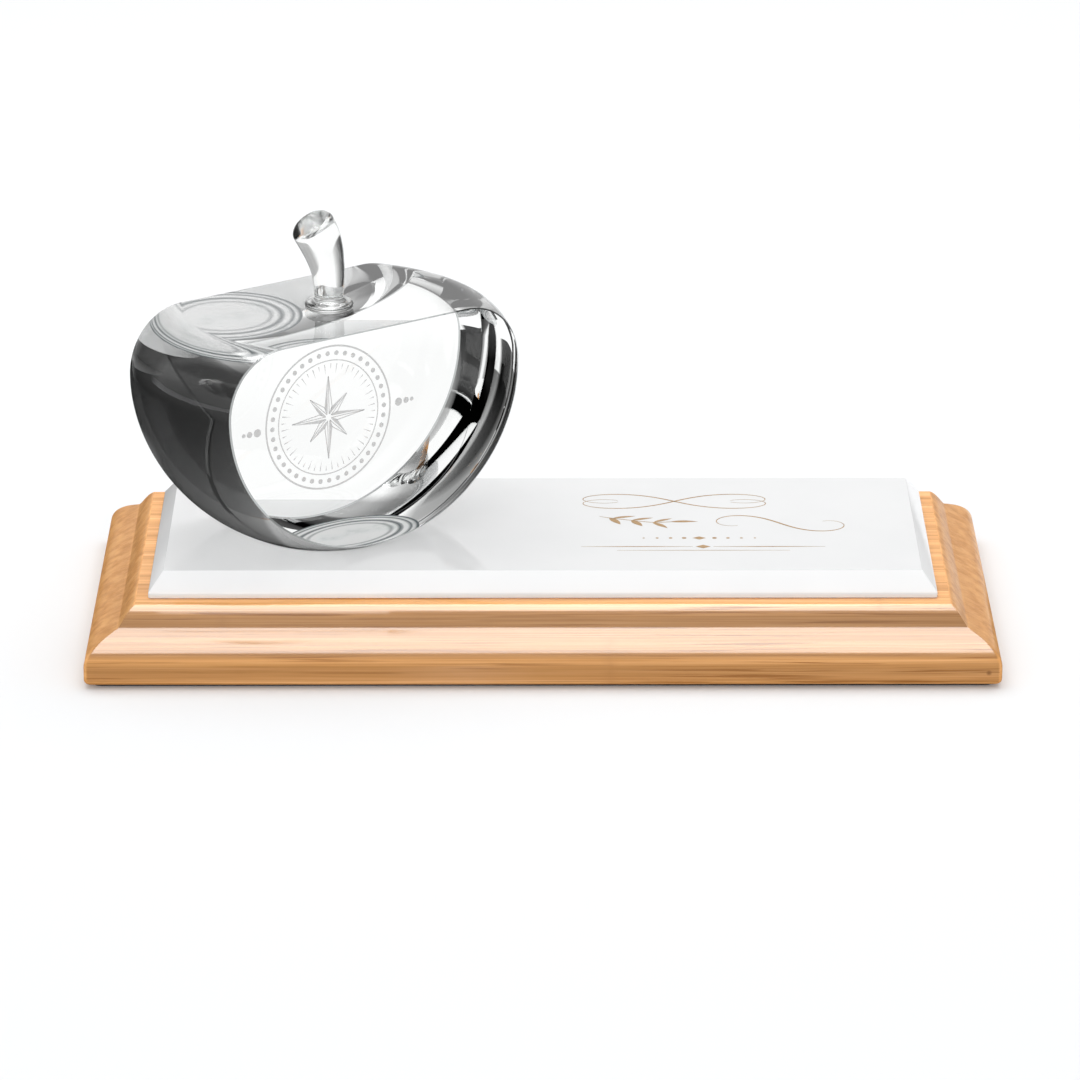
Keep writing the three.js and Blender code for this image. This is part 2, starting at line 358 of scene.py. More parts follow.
    height = maths(tree, "SUBTRACT", fine, times(tree, dots, 0.5))
    height = maths(tree, "SUBTRACT", height, times(tree, dark_line, 0.5))
    fill(tree, shader, {
        "Base Color": body, "Roughness": ramp(tree, streaks, (0.3, 0.50), (0.7, 0.38)),
        "Specular IOR Level": 0.05, "Normal": bump(tree, height, 0.22, 0.00025),
        "Coat Weight": 0.25, "Coat IOR": 2.5, "Coat Roughness": 0.13,
    })
    return material


def plate_material():
    """Gloss white acrylic with a faintly wavy polish, painted shade on its top and a painted cool cut edge.
    """
    material, tree, shader = new_material("white_acrylic_gloss")
    place = object_place(tree)
    shade = ramp(tree, noise(tree, place, 35), (0.35, (0.83, 0.835, 0.84)), (0.65, (0.85, 0.853, 0.857)))
    height = split(tree, place)[2]
    plate_low, plate_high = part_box("white_plate")
    # Painted shade: the top face is greyer than the bevels below it
    near_top = maths(tree, "SUBTRACT", height, plate_high.z - PLATE_SHADED_TOP_DEPTH)
    painted_top_shade = ramp(tree, maths(tree, "DIVIDE", near_top, PLATE_SHADED_TOP_DEPTH, clamp=True), (0.5, 1.0), (0.8, 0.85))
    shade = blend_colours(tree, 1.0, shade, painted_top_shade, "MULTIPLY")
    # Painted light: a cool tint on the upright cut edge cancels the warm light the wood reflects onto it
    above_foot = maths(tree, "SUBTRACT", height, plate_low.z)
    painted_cool_edge = ramp(tree, maths(tree, "DIVIDE", above_foot, 2 * PLATE_EDGE_HEIGHT),
                    (0.47, (0.88, 0.95, 1.0)), (0.5, (1.0, 1.0, 1.0)))
    shade = blend_colours(tree, 1.0, shade, painted_cool_edge, "MULTIPLY")
    smears = noise(tree, place, (60, 22, 22), 3, 0.6)
    fill(tree, shader, {
        "Base Color": shade, "Roughness": ramp(tree, smears, (0.35, 0.03), (0.75, 0.06)),
        "Specular IOR Level": 0.22, "Normal": bump(tree, noise(tree, place, 60, 1), 0.03, 0.0006),
    })
    return material


def glass_material(name, tint=(0.985, 0.995, 0.99), roughness=0.0, bending=1.52):
    """Clear glass or adhesive, slightly green and polished unless told otherwise."""
    material, tree, shader = new_material(name)
    fill(tree, shader, {
        "Base Color": tint, "Transmission Weight": 1, "Roughness": roughness, "IOR": bending})
    return material


def seen_plate_material(middle):
    """The apple's foot: the white plate seen through the glass that is bonded to it,
    with dark rings near its rim and soft waves inside them."""
    material, tree, shader = new_material("plate_through_bond")
    place = object_place(tree)
    waves = noise(tree, place, 70, 2, 0.45)
    mottle = noise(tree, place, 420, 3, 0.6)
    shade = ramp(tree, weighed(tree, waves, mottle, 0.8),
                 (0.36, (0.80, 0.825, 0.82)), (0.46, (0.94, 0.95, 0.95)), (0.56, (0.98, 0.98, 0.98)))
    apart = maths(tree, "DIVIDE", distance(tree, place, middle), FOOT_RADIUS)
    outward = maths(tree, "ADD", apart, times(tree, waves, 0.03))
    rings = ramp(tree, outward, (0.56, 0.0), (0.61, 0.6), (0.66, 0.0), (0.69, 0.0), (0.74, 1.0), (0.78, 0.6),
                 (0.80, 0.0), (0.85, 0.0), (0.90, 1.0), (0.93, 0.1), (0.96, 0.3), (0.985, 1.0))
    shade = blend_colours(tree, rings, shade, (0.12, 0.145, 0.155))
    fill(tree, shader, {"Base Color": shade, "Roughness": 0.6, "Specular IOR Level": 0.1})
    return material


def grained_material(name, layers, first_share, stops, roughness, relief):
    """A matt finish from two layers of noise, each (scale, detail, roughness), of which the first
    has first_share of the colour and alone raises the bump, by relief: its strength and depth."""
    material, tree, shader = new_material(name)
    place = object_place(tree)
    found = [noise(tree, place, *layer) for layer in layers]
    tone = weighed(tree, *found, first_share)
    normal = bump(tree, found[0], *relief)
    fill(tree, shader, {"Base Color": ramp(tree, tone, *stops), "Roughness": roughness, "Normal": normal})
    return material


def felt_material():
    material, tree, shader = new_material("charcoal_felt")
    place = object_place(tree)
    tone = weighed(tree, noise(tree, place, 2600, 4, 0.7), noise(tree, place, 420, 3, 0.6), 0.6)
    shade = ramp(tree, tone, (0.35, (0.018, 0.018, 0.020)), (0.65, (0.065, 0.066, 0.070)))
    normal = bump(tree, tone, 0.6, 0.0003)
    fill(tree, shader, {"Base Color": shade, "Roughness": 0.95, "Sheen Weight": 0.3, "Normal": normal})
    return material


# Mesh building

class Shape:
    """Vertices welded by place, and faces with a material number and their corners' normals."""

    def __init__(self):
        self.points = []
        self.known = {}
        self.faces = []
        self.slots = []
        self.normals = []

    def point(self, place):
        key = tuple(round(c, 8) for c in place)
        if key not in self.known:
            self.known[key] = len(self.points)
            self.points.append(tuple(place))
        return self.known[key]

    def face(self, corners, normals=None, slot=0, flip=False):
        """Adds a face, turned over if flip is true. Corners that fall together are dropped."""
        if flip:
            corners = corners[::-1]
            normals = normals and normals[::-1]
        indices = [self.point(c) for c in corners]
        kept = [k for k, i in enumerate(indices) if i != indices[k - 1]]
        if len(kept) < 3:
            return
        self.faces.append([indices[k] for k in kept])
        self.slots.append(slot)
        if normals:
            self.normals.extend(normals[k] for k in kept)

    def mesh(self, name):
        mesh = bpy.data.meshes.new(name)
        mesh.from_pydata(self.points, [], self.faces)
        mesh.update()
        mesh.polygons.foreach_set("material_index", self.slots)
        if self.normals:
            mesh.polygons.foreach_set("use_smooth", [True] * len(self.faces))
            mesh.normals_split_custom_set(self.normals)
        return mesh


def add_object(name, data):
    thing = bpy.data.objects.new(name, data)
    bpy.context.scene.collection.objects.link(thing)
    return thing


def add_piece(name, mesh, materials, node=None, mirrored_in_glass=True):
    piece = add_object(name, mesh)
    piece.visible_glossy = mirrored_in_glass
    for material in materials:
        mesh.materials.append(material)
    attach(piece, "root")
    if node:
        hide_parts(node)
    return piece


def cubic(a, b, c, d, steps):
    """Points of a cubic curve after its first one."""
    found = []
    for i in range(1, steps + 1):
        t = i / steps
        s = 1 - t
        weights = (s ** 3, 3 * s * s * t, 3 * s * t * t, t ** 3)
        found.append(tuple(sum(w * p[k] for w, p in zip(weights, (a, b, c, d))) for k in (0, 1)))
    return found


def ring(half_x, half_y, radius, z, steps=5):
    """A rounded rectangle, counterclockwise from its right side's front corner."""
    points = []
    for corner, (sx, sy) in enumerate(((1, -1), (1, 1), (-1, 1), (-1, -1))):
        for i in range(steps + 1):
            angle = math.pi / 2 * (corner - 1 + i / steps)
            points.append(Vector((
                sx * (half_x - radius) + radius * math.cos(angle),
                sy * (half_y - radius) + radius * math.sin(angle),
                z,
            )))
    return points


def moulded_block(half_x, half_y, profile, corner_radius):
    """A block with one moulded edge all round. profile has (inset, height) from the
    bottom up, and corner_radius gives the radius in plan at an inset."""
    shape = Shape()
    rings = [ring(half_x - inset, half_y - inset, corner_radius(inset), z) for inset, z in profile]
    for low, high in zip(rings, rings[1:]):
        count = len(low)
        for i in range(count):
            j = (i + 1) % count
            shape.face([low[i], low[j], high[j], high[i]])
    shape.face(list(reversed(rings[0])))
    shape.face(rings[-1])
    return shape.mesh("block")


def smooth_by_angle(mesh, degrees):
    """Smooth shading that stays crisp at edges sharper than the given angle."""
    mesh.polygons.foreach_set("use_smooth", [True] * len(mesh.polygons))
    mesh.set_sharp_from_angle(angle=math.radians(degrees))


# Board, felt, plate and tape

def rounded_edge(radius, steps):
    """A quarter round as (inset, height), from the underside to the side."""
    angles = [math.pi / 2 * i / steps for i in range(steps + 1)]
    return [(radius * (1 - math.sin(a)), radius * (1 - math.cos(a))) for a in angles]


def board_profile(thickness):
    """The board's edge as (inset, height): small round, plain side, large round, cove, bead."""
    points = rounded_edge(BOTTOM_EDGE_RADIUS, 6)
    side_top = thickness - MOULDING_DROP
    cove = (MOULDING_RUN - COVE_RUN, thickness - COVE_DROP)
    rise = cove[1] - side_top
    points.append((0, side_top))
    points += cubic((0, side_top), (0, side_top + ROUND_SIDE_REACH * rise),
                    (ROUND_COVE_REACH * cove[0], cove[1] - ROUND_COVE_DIP * rise), cove, EDGE_STEPS)
    points += cubic(cove, (cove[0] + BEAD_COVE_REACH * COVE_RUN, cove[1] + BEAD_COVE_RISE * COVE_DROP),
                    (MOULDING_RUN - BEAD_TOP_REACH * COVE_RUN, thickness - BEAD_TOP_DIP * COVE_DROP),
                    (MOULDING_RUN, thickness), EDGE_STEPS)
    return points


def cut_strip(block, low, high):
    """The part of a mesh between two depths, closed where it is cut."""
    work = bmesh.new()
    work.from_mesh(block)
    for depth, direction in ((low, -1), (high, 1)):
        cut = bmesh.ops.bisect_plane(
            work, geom=work.verts[:] + work.edges[:] + work.faces[:], dist=1e-7,
            plane_co=(0, depth, 0), plane_no=(0, direction, 0), clear_outer=True)
        rim = [e for e in cut["geom_cut"] if isinstance(e, bmesh.types.BMEdge)]
        if rim:
            bmesh.ops.edgenet_fill(work, edges=rim)
    bmesh.ops.recalc_face_normals(work, faces=work.faces)
    strip = bpy.data.meshes.new("strip")
    work.to_mesh(strip)
    work.free()
    return strip


def bamboo_board():
    names = [f"bamboo_strip_{i + 1:02d}" for i in range(STRIP_COUNT)]
    boxes = [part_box(name) for name in names]
    low = Vector(min(b[0][k] for b in boxes) for k in range(3))
    high = Vector(max(b[1][k] for b in boxes) for k in range(3))
    half_x, half_y = (high.x - low.x) / 2, (high.y - low.y) / 2
    strip_width = 2 * half_y / STRIP_COUNT
    block = moulded_block(
        half_x, half_y, board_profile(high.z - low.z),
        lambda inset: max(CRISP_CORNER_RADIUS, BOARD_CORNER_RADIUS * (1 - inset / CORNER_FADE)))
    material = bamboo_material(half_y, strip_width)
    for i, node in enumerate(names):
        strip = cut_strip(block, -half_y + i * strip_width, -half_y + (i + 1) * strip_width)
        strip.transform(Matrix.Translation((0, 0, low.z)))
        smooth_by_angle(strip, 28)
        lath = add_piece(f"bamboo_lath_{i + 1:02d}", strip, [material], node, False)
        lath.visible_transmission = i < STRIP_COUNT - REAR_STRIPS
    bpy.data.meshes.remove(block)


def edged_slab(low, high, profile, corner_radius, crisp_from):
    """A slab over a box, with one edge all round."""
    half, middle = (high - low) / 2, (low + high) / 2
    slab = moulded_block(half.x, half.y, profile, lambda inset: corner_radius)
    slab.transform(Matrix.Translation((middle.x, middle.y, low.z)))
    smooth_by_angle(slab, crisp_from)
    return slab


def rounded_slab(low, high, corner_radius, edge_round):
    """A slab over a box, with its upper and lower edges rounded."""
    profile = rounded_edge(edge_round, 4)
    profile += [(inset, high.z - low.z - z) for inset, z in reversed(profile)]
    return edged_slab(low, high, profile, corner_radius, 40)


def felt_and_tape():
    felt = rounded_slab(*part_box("felt_pad"), FELT_CORNER_RADIUS, FELT_EDGE_ROUND)
    add_piece("felt_base", felt, [felt_material()], "felt_pad", False)
    # Tape: pale, with fibres drawn out along it
    weave = ((260, 900, 260), 3, 0.6)
    shades = ((0.3, (0.66, 0.62, 0.52)), (0.7, (0.80, 0.77, 0.68)))
    material = grained_material("mounting_tape", (weave, weave), 0.5, shades, 0.85, (0.3, 0.0001))
    for side in ("front", "back"):
        strip = rounded_slab(*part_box(f"tape_strip_{side}"), TAPE_CORNER_RADIUS, TAPE_EDGE_ROUND)
        add_piece(f"mounting_tape_{side}", strip, [material], f"tape_strip_{side}", False)


def white_plate():
    low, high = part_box("white_plate")
    thickness = high.z - low.z
    slope = Vector((PLATE_BEVEL_RUN, thickness - PLATE_EDGE_HEIGHT)).normalized() * PLATE_ARRIS
    profile = [
        (PLATE_ARRIS, 0),
        (PLATE_ARRIS * 0.3, PLATE_ARRIS * 0.3),
        (0, PLATE_ARRIS),
        (0, PLATE_EDGE_HEIGHT - PLATE_ARRIS),
        (0.12 * slope.x, PLATE_EDGE_HEIGHT),
        (slope.x, PLATE_EDGE_HEIGHT + slope.y),
        (PLATE_BEVEL_RUN - slope.x, thickness - slope.y),
        (PLATE_BEVEL_RUN, thickness - 0.1 * slope.y),
        (PLATE_BEVEL_RUN + PLATE_ARRIS, thickness),
    ]
    plate = edged_slab(low, high, profile, PLATE_CORNER_RADIUS, 32)
    add_piece("bevelled_plate", plate, [plate_material()], "white_plate", False)


# Apple

def evenly_spaced(curve, start, end, count):
    """count + 1 parameters from start to end that divide a 2D curve evenly by length."""
    samples = 600
    values = [start + (end - start) * i / samples for i in range(samples + 1)]
    points = [Vector(curve(v)) for v in values]
    lengths = [0.0]
    for a, b in zip(points, points[1:]):
        lengths.append(lengths[-1] + (b - a).length)
    found, k = [], 0
    for i in range(count + 1):
        target = lengths[-1] * i / count
        while k < samples - 1 and lengths[k + 1] < target:
            k += 1
        span = max(lengths[k + 1] - lengths[k], 1e-12)
        found.append(values[k] + (values[k + 1] - values[k]) * (target - lengths[k]) / span)
    return found


class AppleForm:
    """The turned form of the apple. A place on its side is one number from the foot
    (0) through the belly (1) to the rim of the flat top (2)."""

    def __init__(self, height):
        self.height = height
        self.belly = height - SHOULDER_DROP
        self.foot_angle = math.acos(FOOT_RADIUS / BELLY_RADIUS)
        self.underside = self.belly / math.sin(self.foot_angle)

    def side(self, place):
        """(radius, height, outward normal's radius and height parts)"""
        if place <= 1:
            angle = self.foot_angle * (1 - place)
            radius = BELLY_RADIUS * math.cos(angle)
            z = self.belly - self.underside * math.sin(angle)
            normal = Vector((math.cos(angle) / BELLY_RADIUS, -math.sin(angle) / self.underside))
        else:
            angle = math.pi / 2 * (place - 1)
            radius = BELLY_RADIUS - SHOULDER_RUN * (1 - math.cos(angle))
            z = self.belly + SHOULDER_DROP * math.sin(angle)
            normal = Vector((math.cos(angle) / SHOULDER_RUN, math.sin(angle) / SHOULDER_DROP))
        normal.normalize()
        return radius, z, normal.x, normal.y

    def leaves(self, depth):
        """The place where the side first reaches out to a depth."""
        return 1 - math.acos(depth / BELLY_RADIUS) / self.foot_angle

    def outline(self, place, depth):
        """Half width and height of the section at a depth."""
        radius, z, _, _ = self.side(place)
        return math.sqrt(max(radius * radius - depth * depth, 0.0)), z

    def places(self, depth):
        """Places that divide the section's outline at a depth evenly."""
        lower = evenly_spaced(lambda v: self.outline(v, depth), self.leaves(depth), 1, APPLE_BELLY_RINGS)
        upper = evenly_spaced(lambda v: self.outline(v, depth), 1, 2, APPLE_SHOULDER_RINGS)
        return lower + upper[1:]


def apple_mesh(height):
    form = AppleForm(height)
    shape = Shape()
    depth = APPLE_THICKNESS / 2
    side_depth = depth - FACE_CHAMFER
    reach = form.leaves(side_depth)
    foot_places = [reach * i / APPLE_FOOT_RINGS for i in range(APPLE_FOOT_RINGS)]
    side_places = foot_places + form.places(side_depth)
    steps = APPLE_ARC_STEPS

    def arc(place, mirror):
        """Points and normals of one side's arc, from the front to the back."""
        radius, z, out, up = form.side(place)
        half = math.pi / 2 if place < reach else math.asin(min(1.0, side_depth / radius))
        points, normals = [], []
        for i in range(steps + 1):
            angle = half * (2 * i / steps - 1)
            c, s = math.cos(angle), math.sin(angle)
            points.append(Vector((mirror * radius * c, radius * s, z)))
            normals.append(Vector((mirror * out * c, out * s, up)))
        return points, normals

    arcs = {m: [arc(p, m) for p in side_places] for m in (1, -1)}
    for mirror in (1, -1):
        for (low, low_normals), (high, high_normals) in zip(arcs[mirror], arcs[mirror][1:]):
            for i in range(steps):
                corners = [low[i], low[i + 1], high[i + 1], high[i]]
                normals = [low_normals[i], low_normals[i + 1], high_normals[i + 1], high_normals[i]]
                shape.face(corners, normals, flip=mirror < 0)

    # Flat top and foot: strips between the right and the left arc
    for level, direction, slot in ((-1, 1, 0), (0, -1, 1)):
        right, left = arcs[1][level][0], arcs[-1][level][0]
        for i in range(steps):
            corners = [left[i], right[i], right[i + 1], left[i + 1]]
            shape.face(corners, [Vector((0, 0, direction))] * 4, slot, direction < 0)

    # Front and back faces, and the narrow chamfer round each
    inner_places = form.places(depth)
    rim = [Vector(form.outline(p, side_depth)) for p in side_places[APPLE_FOOT_RINGS:]]
    edge = [Vector(form.outline(p, depth)) for p in inner_places]
    inner, ways = [], []
    for i, p in enumerate(edge):
        before = edge[i - 1] if i else Vector((-edge[1].x, edge[1].y))
        after = edge[i + 1] if i + 1 < len(edge) else Vector((-edge[-1].x, edge[-1].y))
        along = (after - before).normalized()
        way = Vector((along.y, -along.x))
        ways.append(way)
        inner.append(p - way * FACE_CHAMFER)
    for side in (-1, 1):
        face_normal = Vector((0, side, 0))
        for i in range(len(edge) - 1):
            right = [Vector((p.x, side * depth, p.y)) for p in inner[i:i + 2]]
            left = [Vector((-p.x, side * depth, p.y)) for p in inner[i:i + 2]]
            shape.face([left[0], right[0], right[1], left[1]], [face_normal] * 4, flip=side > 0)
            for mirror in (1, -1):
                outer = [Vector((mirror * p.x, side * side_depth, p.y)) for p in rim[i:i + 2]]
                flat = right if mirror > 0 else left
                tilt = [Vector((mirror * w.x, side, w.y)).normalized() for w in ways[i:i + 2]]
                corners = [flat[0], outer[0], outer[1], flat[1]]
                normals = [tilt[0], tilt[0], tilt[1], tilt[1]]
                shape.face(corners, normals, 2, side * mirror > 0)
        # Chamfer along the flat top's straight edge
        top, half_run = Vector((0, side, 1)).normalized(), inner[-1].x
        corners = [
            Vector((-half_run, side * depth, inner[-1].y)), Vector((half_run, side * depth, inner[-1].y)),
            Vector((rim[-1].x, side * side_depth, height)), Vector((-rim[-1].x, side * side_depth, height)),
        ]
        shape.face(corners, [top] * 4, 2, side > 0)
    return shape.mesh("apple")


def apple_place():
    """The apple's turned frame: origin at the middle of its foot."""
    low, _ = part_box("glass_apple")
    film_low, film_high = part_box("apple_adhesive_film")
    middle = (film_low + film_high) / 2
    return Matrix.Translation((middle.x, middle.y, low.z)) @ Matrix.Rotation(APPLE_TURN, 4, "Z")


def glass_apple(glass):
    low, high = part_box("glass_apple")
    mesh = apple_mesh(high.z - low.z)
    mesh.transform(apple_place())
    foot = seen_plate_material(tuple(apple_place().translation))
    # The narrow chamfer round the faces is glass tinted dark: painted shade for the dark line along the edges
    dark_arris = glass_material("arris_glass_painted_dark", (0.30, 0.32, 0.32))
    apple = add_piece("apple_crystal", mesh, [glass, foot, dark_arris], "glass_apple")
    apple.visible_shadow = False


# Stem and adhesive films

def turned_mesh(name, profile, sides, bend):
    """A lathe form from (radius, height) points that start and end on the axis,
    with each point moved by bend(point)."""
    shape = Shape()
    turn = 2 * math.pi / sides
    ways = [(math.cos(turn * i), math.sin(turn * i)) for i in range(sides)]

    def around(radius, z):
        return [bend(Vector((radius * c, radius * s, z))) for c, s in ways]

    rings = [around(radius, z) for radius, z in profile]
    for low, high in zip(rings, rings[1:]):
        for i in range(sides):
            j = (i + 1) % sides
            shape.face([low[i], low[j], high[j], high[i]])
    return shape.mesh(name)


def stem_profile(length):
    bulge = COLLAR_HEIGHT / 2
    points = [(0, 0), (0.5 * (COLLAR_RADIUS - bulge), 0)]
    for i in range(17):
        angle = math.pi * (i / 16 - 0.5)
        points.append((COLLAR_RADIUS - bulge + bulge * math.cos(angle), bulge + bulge * math.sin(angle)))
    corner = (NECK_RADIUS, COLLAR_HEIGHT)
    start, end = (COLLAR_RADIUS - bulge, COLLAR_HEIGHT), (NECK_RADIUS, NECK_HEIGHT)
    pull = [tuple(p[k] + (corner[k] - p[k]) * 2 / 3 for k in (0, 1)) for p in (start, end)]
    points += cubic(start, pull[0], pull[1], end, 10)
    body_top = length - TIP_ROUNDING
    third = (body_top - NECK_HEIGHT) / 3
    points += cubic(end, (NECK_RADIUS, NECK_HEIGHT + third),
                    (TIP_RADIUS, body_top - third), (TIP_RADIUS, body_top), 40)
    for i in range(1, 11):
        angle = math.pi / 2 * i / 10
        inset = TIP_ROUNDING * (1 - math.cos(angle))
        points.append((TIP_RADIUS - inset, body_top + TIP_ROUNDING * math.sin(angle)))
    points += [(0.5 * (TIP_RADIUS - TIP_ROUNDING), length), (0, length)]
    return points


def stem_bend(point):
    """Bends the upright stem: straight at its foot, then in an arc towards -X."""
    angle = max(0.0, point.z - STEM_STRAIGHT) / STEM_BEND_RADIUS
    upright = min(point.z, STEM_STRAIGHT)
    return Vector((
        -STEM_BEND_RADIUS * (1 - math.cos(angle)) + point.x * math.cos(angle),
        point.y,
        upright + STEM_BEND_RADIUS * math.sin(angle) + point.x * math.sin(angle),
    ))


def glass_stem():
    low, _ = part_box("glass_stem")
    film_low, film_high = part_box("stem_adhesive_film")
    middle = (film_low + film_high) / 2
    length = STEM_STRAIGHT + STEM_BEND_RADIUS * STEM_LEAN
    mesh = turned_mesh("stem", stem_profile(length), STEM_SIDES, stem_bend)
    mesh.transform(Matrix.Translation((middle.x, middle.y, low.z)) @ Matrix.Rotation(APPLE_TURN, 4, "Z"))
    smooth_by_angle(mesh, 40)
    stem = add_piece("stem_crystal", mesh, [glass_material("drawn_crystal", roughness=0.07)],
                     "glass_stem")
    stem.visible_shadow = False


def adhesive_film(name, node, material):
    """A thin film of adhesive, drawn in a little at its rim."""
    low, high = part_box(node)
    middle, radius = (low + high) / 2, (high.x - low.x) / 2
    thickness = high.z - low.z - 2 * FILM_CLEARANCE
    profile = [(0, 0), (radius, 0)]
    for i in range(1, 8):
        t = i / 8
        profile.append((radius - FILM_DRAWN_IN * thickness * math.sin(math.pi * t), thickness * t))
    profile += [(radius, thickness), (0, thickness)]
    mesh = turned_mesh(name, profile, 96, lambda p: p)
    mesh.transform(Matrix.Translation((middle.x, middle.y, low.z + FILM_CLEARANCE)))
    smooth_by_angle(mesh, 40)
    add_piece(name, mesh, [material], node)


# Flat ornament

def thin_solid(name, panels, depth):
    """Flat panels in X and Y as one thin closed solid, from z 0 up to depth."""
    shape = Shape()
    sides = {}
    for panel in panels:
        area = sum(a[0] * b[1] - b[0] * a[1] for a, b in zip(panel, panel[1:] + panel[:1]))
        if area < 0:
            panel = panel[::-1]
        top = [shape.point((x, y, depth)) for x, y in panel]
        low = [shape.point((x, y, 0)) for x, y in panel]
        shape.faces += [top, low[::-1]]
        shape.slots += [0, 0]
        for i, a in enumerate(top):
            j = (i + 1) % len(top)
            sides[(a, top[j])] = (low[i], low[j])
    for (a, b), (c, d) in sides.items():
        if (b, a) not in sides:
            shape.faces.append([a, c, d, b])
            shape.slots.append(0)
    return shape.mesh(name)


def ribbon(line, widths):
    """Panels along a line of points, as wide at each point as widths says."""
    edges = []
    for i, p in enumerate(line):
        along = (line[min(i + 1, len(line) - 1)] - line[max(i - 1, 0)]).normalized()
        across = Vector((-along.y, along.x)) * widths[i] / 2
        edges.append((tuple(p + across), tuple(p - across)))
    return [[a[0], a[1], b[1], b[0]] for a, b in zip(edges, edges[1:])]


def disc(middle, radius, sides=20):
    angles = [2 * math.pi * i / sides for i in range(sides)]
    return [[(middle[0] + radius * math.cos(a), middle[1] + radius * math.sin(a)) for a in angles]]


def band(radius, width, sides=144):
    """A circular line about the origin."""
    panels = []
    low, high = radius - width / 2, radius + width / 2
    for i in range(sides):
        start, end = 2 * math.pi * i / sides, 2 * math.pi * (i + 1) / sides
        corners = ((low, start), (high, start), (high, end), (low, end))
        panels.append([(r * math.cos(a), r * math.sin(a)) for r, a in corners])
    return panels


def turned_panels(panels, angle, shift=(0, 0)):
    c, s = math.cos(angle), math.sin(angle)
    return [[(x * c - y * s + shift[0], x * s + y * c + shift[1]) for x, y in panel] for panel in panels]


def star_point(tip):
    """A point of the star along X: one half solid, the other in outline."""
    flank = Vector((math.cos(math.pi / 8), math.sin(math.pi / 8))) * STAR_WAIST
    solid = [[(STAR_HEART, STAR_GAP), (tip, STAR_GAP * 0.4), tuple(flank)]]
    heart = Vector((STAR_HEART, -STAR_GAP))
    line = [heart, Vector((flank.x, -flank.y)), Vector((tip, -STAR_GAP * 0.4)), heart]
    outline = []
    for a, b in zip(line, line[1:]):
        outline += ribbon([a, b], [STAR_LINE, STAR_LINE])
    return solid + outline


def rosette_panels():
    """A compass star in rings of rays and beads, with graded dots at both sides."""
    panels = band(*ROSETTE_OUTER_LINE) + band(*ROSETTE_INNER_LINE)
    for i in range(BEAD_COUNT):
        angle = 2 * math.pi * i / BEAD_COUNT
        panels += disc((BEAD_RING * math.cos(angle), BEAD_RING * math.sin(angle)), BEAD_RADIUS)
    for i in range(RAY_COUNT):
        length = RAY_LENGTHS[i % 2]
        ray = [[(RAY_FOOT, -RAY_HALF_WIDTH), (RAY_FOOT, RAY_HALF_WIDTH), (RAY_FOOT - length, 0)]]
        panels += turned_panels(ray, 2 * math.pi * (i + 0.5) / RAY_COUNT)
    for i in range(8):
        panels += turned_panels(star_point(STAR_TIPS[i % 2]), math.pi / 2 + 2 * math.pi * i / 8)
    for side in (1, -1):
        for radius, along in SIDE_DOTS:
            panels += disc((side * along, 0), radius, 24)
    return panels


def etched_rosette():
    """The rosette stands on the apple's front face, a hair proud of it."""
    mesh = thin_solid("etched_rosette", rosette_panels(), ETCH_DEPTH)
    upright = Matrix.Rotation(math.pi / 2, 4, "X")
    front = Matrix.Translation((ROSETTE_ALONG, -(APPLE_THICKNESS / 2 + ETCH_LIFT), ROSETTE_UP))
    mesh.transform(apple_place() @ front @ upright)
    # Sandblasted glass with a fine frosted grain; its pale grey is painted shade for the dim light the
    # frosting scatters from the front
    shades = ((0.3, (0.52, 0.525, 0.525)), (0.7, (0.64, 0.645, 0.645)))
    layers = ((5200, 2, 0.7), (240, 2, 0.5))
    frosted = grained_material("etched_glass", layers, 0.7, shades, 0.75, (0.3, 0.00005))
    add_piece("etched_rosette", mesh, [frosted])


def leaf(base, length, width, angle, bend=0.0):
    """A pointed leaf: fullest before its middle, and curved sideways by bend."""
    line, widths = [], []
    steps = 16
    for i in range(steps + 1):
        t = i / steps
        line.append(Vector((length * t, bend * math.sin(math.pi * t))))
        widths.append(max(width * math.sin(math.pi * t ** 0.8) ** 0.9, 0.02 * MM))
    return turned_panels(ribbon(line, widths), angle, base)


def smooth_line(knots, steps=8):
    """A curve through chosen points."""
    points = [Vector(k) * MM for k in knots]
    ends = [2 * points[0] - points[1]] + points + [2 * points[-1] - points[-2]]
    line = [points[0]]
    for i in range(1, len(ends) - 2):
        a, b, c, d = ends[i - 1:i + 3]
        for k in range(1, steps + 1):
            t = k / steps
            line.append(0.5 * (2 * b + (c - a) * t + (2 * a - 5 * b + 4 * c - d) * t * t
                               + (3 * b - a - 3 * c + d) * t ** 3))
    return line


def tapered(line, widest, narrowest=0.12 * MM):
    """Widths that swell to the middle of a line."""
    last = len(line) - 1
    return [narrowest + (widest - narrowest) * math.sin(math.pi * i / last) ** 1.5 for i in range(last + 1)]


def sprig_panels():
    """A leaf sprig: a wavy twig, three leaves above it, three below and one at its tip."""
    twig = smooth_line([(17.1, 5.8), (20.5, 4.3), (26.6, 2.3), (33.1, 0.5), (38.9, 1.0)])
    panels = ribbon(twig, [0.14 * MM + 0.22 * MM * min(1, i / 8) for i in range(len(twig))])
    for base, tip, width in (
        ((21.2, 4.2), (27.8, 6.0), 1.35),
        ((26.9, 2.4), (33.1, 4.5), 1.35),
        ((33.3, 0.7), (38.8, 3.9), 1.30),
        ((20.1, 4.4), (23.3, -1.3), 2.10),
        ((26.6, 2.1), (29.8, -2.8), 2.10),
        ((33.0, 0.3), (37.3, -4.5), 1.75),
        ((38.3, 1.0), (46.4, 1.2), 1.60),
    ):
        way = (Vector(tip) - Vector(base)) * MM
        panels += leaf(Vector(base) * MM, way.length, width * MM, math.atan2(way.y, way.x), 0.03 * way.length)
    return panels


